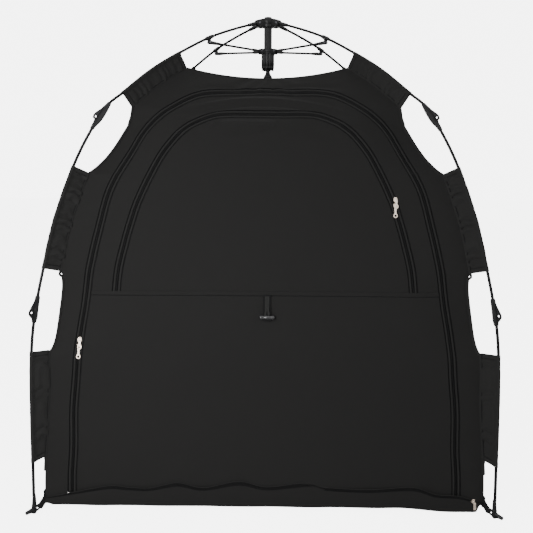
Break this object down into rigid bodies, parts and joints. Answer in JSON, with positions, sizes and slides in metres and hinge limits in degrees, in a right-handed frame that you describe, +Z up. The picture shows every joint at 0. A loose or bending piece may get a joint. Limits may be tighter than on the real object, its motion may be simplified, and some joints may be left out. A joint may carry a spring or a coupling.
{
  "type": "baby sleep tent",
  "caption": "Free-standing blackout sleep tent for a baby's travel cot: umbrella hub, jointed legs at the corners, dark zipped fabric cover.",
  "frame": {"origin": "on the floor, midway between the feet, under the hub", "axes": "+Z up, -Y towards the door, +X to the right seen from the door"},
  "size_m": [1.2874, 1.033, 1.427],
  "materials": {
    "cover_cloth": "matte woven polyester, charcoal",
    "sleeve_cloth": "matte elastic pole sleeves, black",
    "zip_tape": "zip tape with flap, black",
    "webbing": "woven strap and toggle, black",
    "pole": "satin glass-fibre rod, black",
    "plastic": "fine-grained nylon, dark grey",
    "pull_metal": "polished pale rose-gold zip pulls"
  },
  "bodies": {
    "hub": {"crown": "plastic", "roof": "cover_cloth", "front_wall": "cover_cloth", "door_zip": "zip_tape", "door_panel": "cover_cloth", "window_zip": "zip_tape", "window_flap": "cover_cloth", "rear_wall": "cover_cloth", "left_wall": "cover_cloth", "right_wall": "cover_cloth", "hem_band": "cover_cloth", "window_toggle": "webbing", "window_zip_pulls": "pull_metal", "door_zip_pulls": "pull_metal", "base_zip_pull": "pull_metal"},
    "lower_hub": {"hub_post": "plastic", "lower_hub_grip": "plastic", "lower_hub_knob": "plastic"},
    "leg_front_left": {"upper_pole_front_left": "pole", "arm_bracket_front_left": "plastic", "upper_elbow_front_left": "plastic", "middle_pole_front_left": "pole", "lower_elbow_front_left": "plastic", "lower_pole_front_left": "pole", "foot_front_left": "plastic", "pole_sleeve_front_left": "sleeve_cloth"},
    "strut_front_left": {"strut_front_left": "pole"},
    "leg_front_right": {"upper_pole_front_right": "pole", "arm_bracket_front_right": "plastic", "upper_elbow_front_right": "plastic", "middle_pole_front_right": "pole", "lower_elbow_front_right": "plastic", "lower_pole_front_right": "pole", "foot_front_right": "plastic", "pole_sleeve_front_right": "sleeve_cloth"},
    "strut_front_right": {"strut_front_right": "pole"},
    "leg_rear_left": {"upper_pole_rear_left": "pole", "arm_bracket_rear_left": "plastic", "upper_elbow_rear_left": "plastic", "middle_pole_rear_left": "pole", "lower_elbow_rear_left": "plastic", "lower_pole_rear_left": "pole", "foot_rear_left": "plastic", "pole_sleeve_rear_left": "sleeve_cloth"},
    "strut_rear_left": {"strut_rear_left": "pole"},
    "leg_rear_right": {"upper_pole_rear_right": "pole", "arm_bracket_rear_right": "plastic", "upper_elbow_rear_right": "plastic", "middle_pole_rear_right": "pole", "lower_elbow_rear_right": "plastic", "lower_pole_rear_right": "pole", "foot_rear_right": "plastic", "pole_sleeve_rear_right": "sleeve_cloth"},
    "strut_rear_right": {"strut_rear_right": "pole"}
  },
  "joints": [
    {"name": "leg_front_left_fold", "type": "hinge", "parent": "hub", "child": "leg_front_left", "pos_m": [-0.03123, -0.02499, 1.404], "axis": [0.6247, -0.7809, 0], "range_deg": [0, 26], "deforming": ["roof", "front_wall", "door_zip", "door_panel", "window_zip", "window_flap", "rear_wall", "left_wall", "right_wall", "hem_band", "window_toggle", "window_zip_pulls", "door_zip_pulls", "base_zip_pull"]},
    {"name": "leg_front_right_fold", "type": "hinge", "parent": "hub", "child": "leg_front_right", "pos_m": [0.03123, -0.02499, 1.404], "axis": [0.6247, 0.7809, 0], "range_deg": [0, 26]},
    {"name": "leg_rear_left_fold", "type": "hinge", "parent": "hub", "child": "leg_rear_left", "pos_m": [-0.03123, 0.02499, 1.404], "axis": [-0.6247, -0.7809, 0], "range_deg": [0, 26]},
    {"name": "leg_rear_right_fold", "type": "hinge", "parent": "hub", "child": "leg_rear_right", "pos_m": [0.03123, 0.02499, 1.404], "axis": [-0.6247, 0.7809, 0], "range_deg": [0, 26]},
    {"name": "strut_front_left_turn", "type": "hinge", "parent": "leg_front_left", "child": "strut_front_left", "pos_m": [-0.18194, -0.14555, 1.323], "axis": [-0.6247, 0.7809, 0], "range_deg": [0, 67.4]},
    {"name": "strut_front_right_turn", "type": "hinge", "parent": "leg_front_right", "child": "strut_front_right", "pos_m": [0.18194, -0.14555, 1.323], "axis": [-0.6247, -0.7809, 0], "range_deg": [0, 67.4]},
    {"name": "strut_rear_left_turn", "type": "hinge", "parent": "leg_rear_left", "child": "strut_rear_left", "pos_m": [-0.18194, 0.14555, 1.323], "axis": [0.6247, 0.7809, 0], "range_deg": [0, 67.4]},
    {"name": "strut_rear_right_turn", "type": "hinge", "parent": "leg_rear_right", "child": "strut_rear_right", "pos_m": [0.18194, 0.14555, 1.323], "axis": [0.6247, -0.7809, 0], "range_deg": [0, 67.4]},
    {"name": "lower_hub_slide", "type": "slide", "parent": "hub", "child": "lower_hub", "axis": [0, 0, -1], "range_m": [0, 0.21507]}
  ],
  "couplings": [
    {"joint": "leg_front_right_fold", "follows": "leg_front_left_fold", "ratio": 1},
    {"joint": "leg_rear_left_fold", "follows": "leg_front_left_fold", "ratio": 1},
    {"joint": "leg_rear_right_fold", "follows": "leg_front_left_fold", "ratio": 1},
    {"joint": "strut_front_left_turn", "follows": "leg_front_left_fold", "ratio": 2.5924},
    {"joint": "strut_front_right_turn", "follows": "leg_front_left_fold", "ratio": 2.5924},
    {"joint": "strut_rear_left_turn", "follows": "leg_front_left_fold", "ratio": 2.5924},
    {"joint": "strut_rear_right_turn", "follows": "leg_front_left_fold", "ratio": 2.5924},
    {"joint": "lower_hub_slide", "follows": "leg_front_left_fold", "m_per_rad": 0.47395}
  ]
}
